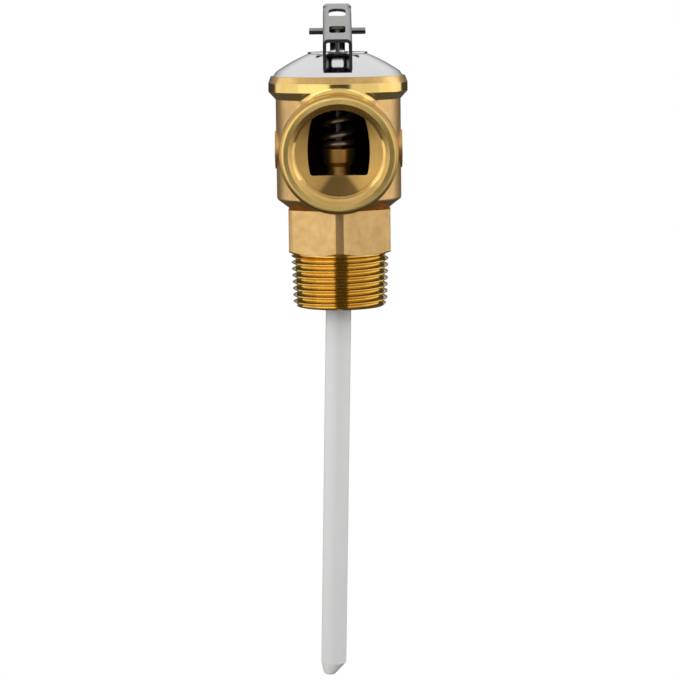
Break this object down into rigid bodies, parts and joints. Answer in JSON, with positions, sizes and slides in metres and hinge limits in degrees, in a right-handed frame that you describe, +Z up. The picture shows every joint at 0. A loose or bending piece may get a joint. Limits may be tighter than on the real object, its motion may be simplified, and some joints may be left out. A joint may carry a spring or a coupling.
{
  "type": "pressure relief valve",
  "caption": "Temperature and pressure relief valve: brass body with tapered inlet thread, side outlet, plated cap, lift lever and long coated probe.",
  "frame": {"origin": "centre of the inlet thread's end face, on the valve's axis", "axes": "+Z up the valve's axis towards the lever, -Y out of the outlet, +X to the right when the outlet is faced"},
  "size_m": [0.0384, 0.0472, 0.1885],
  "materials": {
    "body_brass": "satin forged brass, machined bright on the rim, outlet face and threads",
    "holder_brass": "machined",
    "plated_cap": "bright plated",
    "plated_washer": "bright plated",
    "lever_steel": "satin stamped steel",
    "pin_steel": "bright",
    "stem_steel": "bright",
    "spring_steel": "bright drawn wire",
    "copper_tube": "drawn copper",
    "white_plastic": "semi-gloss plastic coat",
    "seal_rubber": "matte",
    "fibre_gasket": "matte",
    "wax": "waxy"
  },
  "bodies": {
    "root": {"body": "body_brass", "bonnet": "plated_cap", "bonnet_gasket": "fibre_gasket", "lever_washer": "plated_washer", "main_spring": "spring_steel", "spring_button": "plated_washer", "element_guide": "holder_brass", "guide_snap_ring": "spring_steel", "thermostat_head": "holder_brass", "rod_seal": "seal_rubber", "diaphragm": "seal_rubber", "wax_charge": "wax", "element_tube": "copper_tube", "end_plug": "holder_brass", "probe_sheath": "white_plastic"},
    "lift_stem": {"stem": "stem_steel", "lever_pin": "pin_steel", "disc_holder": "holder_brass", "seat_disc": "seal_rubber", "disc_retainer": "plated_washer", "disc_screw": "pin_steel"},
    "lift_lever": {"lever": "lever_steel"},
    "thermal_rod": {"push_rod": "pin_steel"}
  },
  "joints": [
    {"name": "stem_lift", "type": "slide", "parent": "root", "child": "lift_stem", "axis": [0, 0, 1], "range_m": [0, 0.0035], "stiffness_N_per_m": 9000, "springref_m": -0.009, "deforming": ["main_spring"]},
    {"name": "lever_tilt", "type": "hinge", "parent": "lift_stem", "child": "lift_lever", "pos_m": [0, 0, 0.0757], "axis": [1, 0, 0], "range_deg": [0, 8.8]},
    {"name": "rod_slide", "type": "slide", "parent": "root", "child": "thermal_rod", "axis": [0.025, 0, 0.9997], "range_m": [0, 0.0036]}
  ],
  "couplings": [
    {"joint": "lever_tilt", "follows": "stem_lift", "rad_per_m": 43.5},
    {"joint": "rod_slide", "follows": "stem_lift", "ratio": 1}
  ]
}
